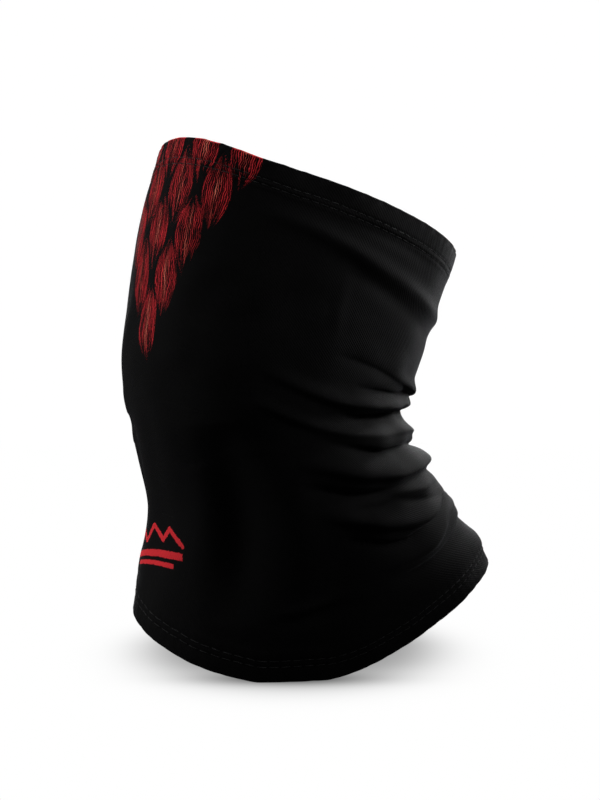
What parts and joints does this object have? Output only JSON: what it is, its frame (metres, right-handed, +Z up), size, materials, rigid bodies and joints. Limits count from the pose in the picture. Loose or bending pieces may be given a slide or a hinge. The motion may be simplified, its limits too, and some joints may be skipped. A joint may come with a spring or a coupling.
{
  "type": "neck gaiter",
  "caption": "Tubular stretch-knit neck gaiter standing as worn, with turned and cover-stitched hems, nape folds and a printed lower-face motif.",
  "frame": {"origin": "on the surface that the neck hem stands on, under the middle of the part's box", "axes": "+Z up, -Y to the wearer's front, +X to the wearer's left"},
  "size_m": [0.167, 0.2378, 0.3039],
  "materials": {
    "knit": "matt black stretch knit",
    "thread": "dark polyester sewing thread",
    "ribbon": "white satin ribbon"
  },
  "bodies": {
    "root": {"knit_tube": "knit", "face_hem": "knit", "neck_hem": "knit", "face_hem_upper_needle_thread": "thread", "face_hem_lower_needle_thread": "thread", "face_hem_looper_thread": "thread", "neck_hem_upper_needle_thread": "thread", "neck_hem_lower_needle_thread": "thread", "neck_hem_looper_thread": "thread", "seam_allowance_left": "knit", "seam_allowance_right": "knit", "seam_needle_thread": "thread", "seam_overlock_thread": "thread", "care_label": "ribbon", "care_label_tack": "thread"}
  },
  "joints": []
}
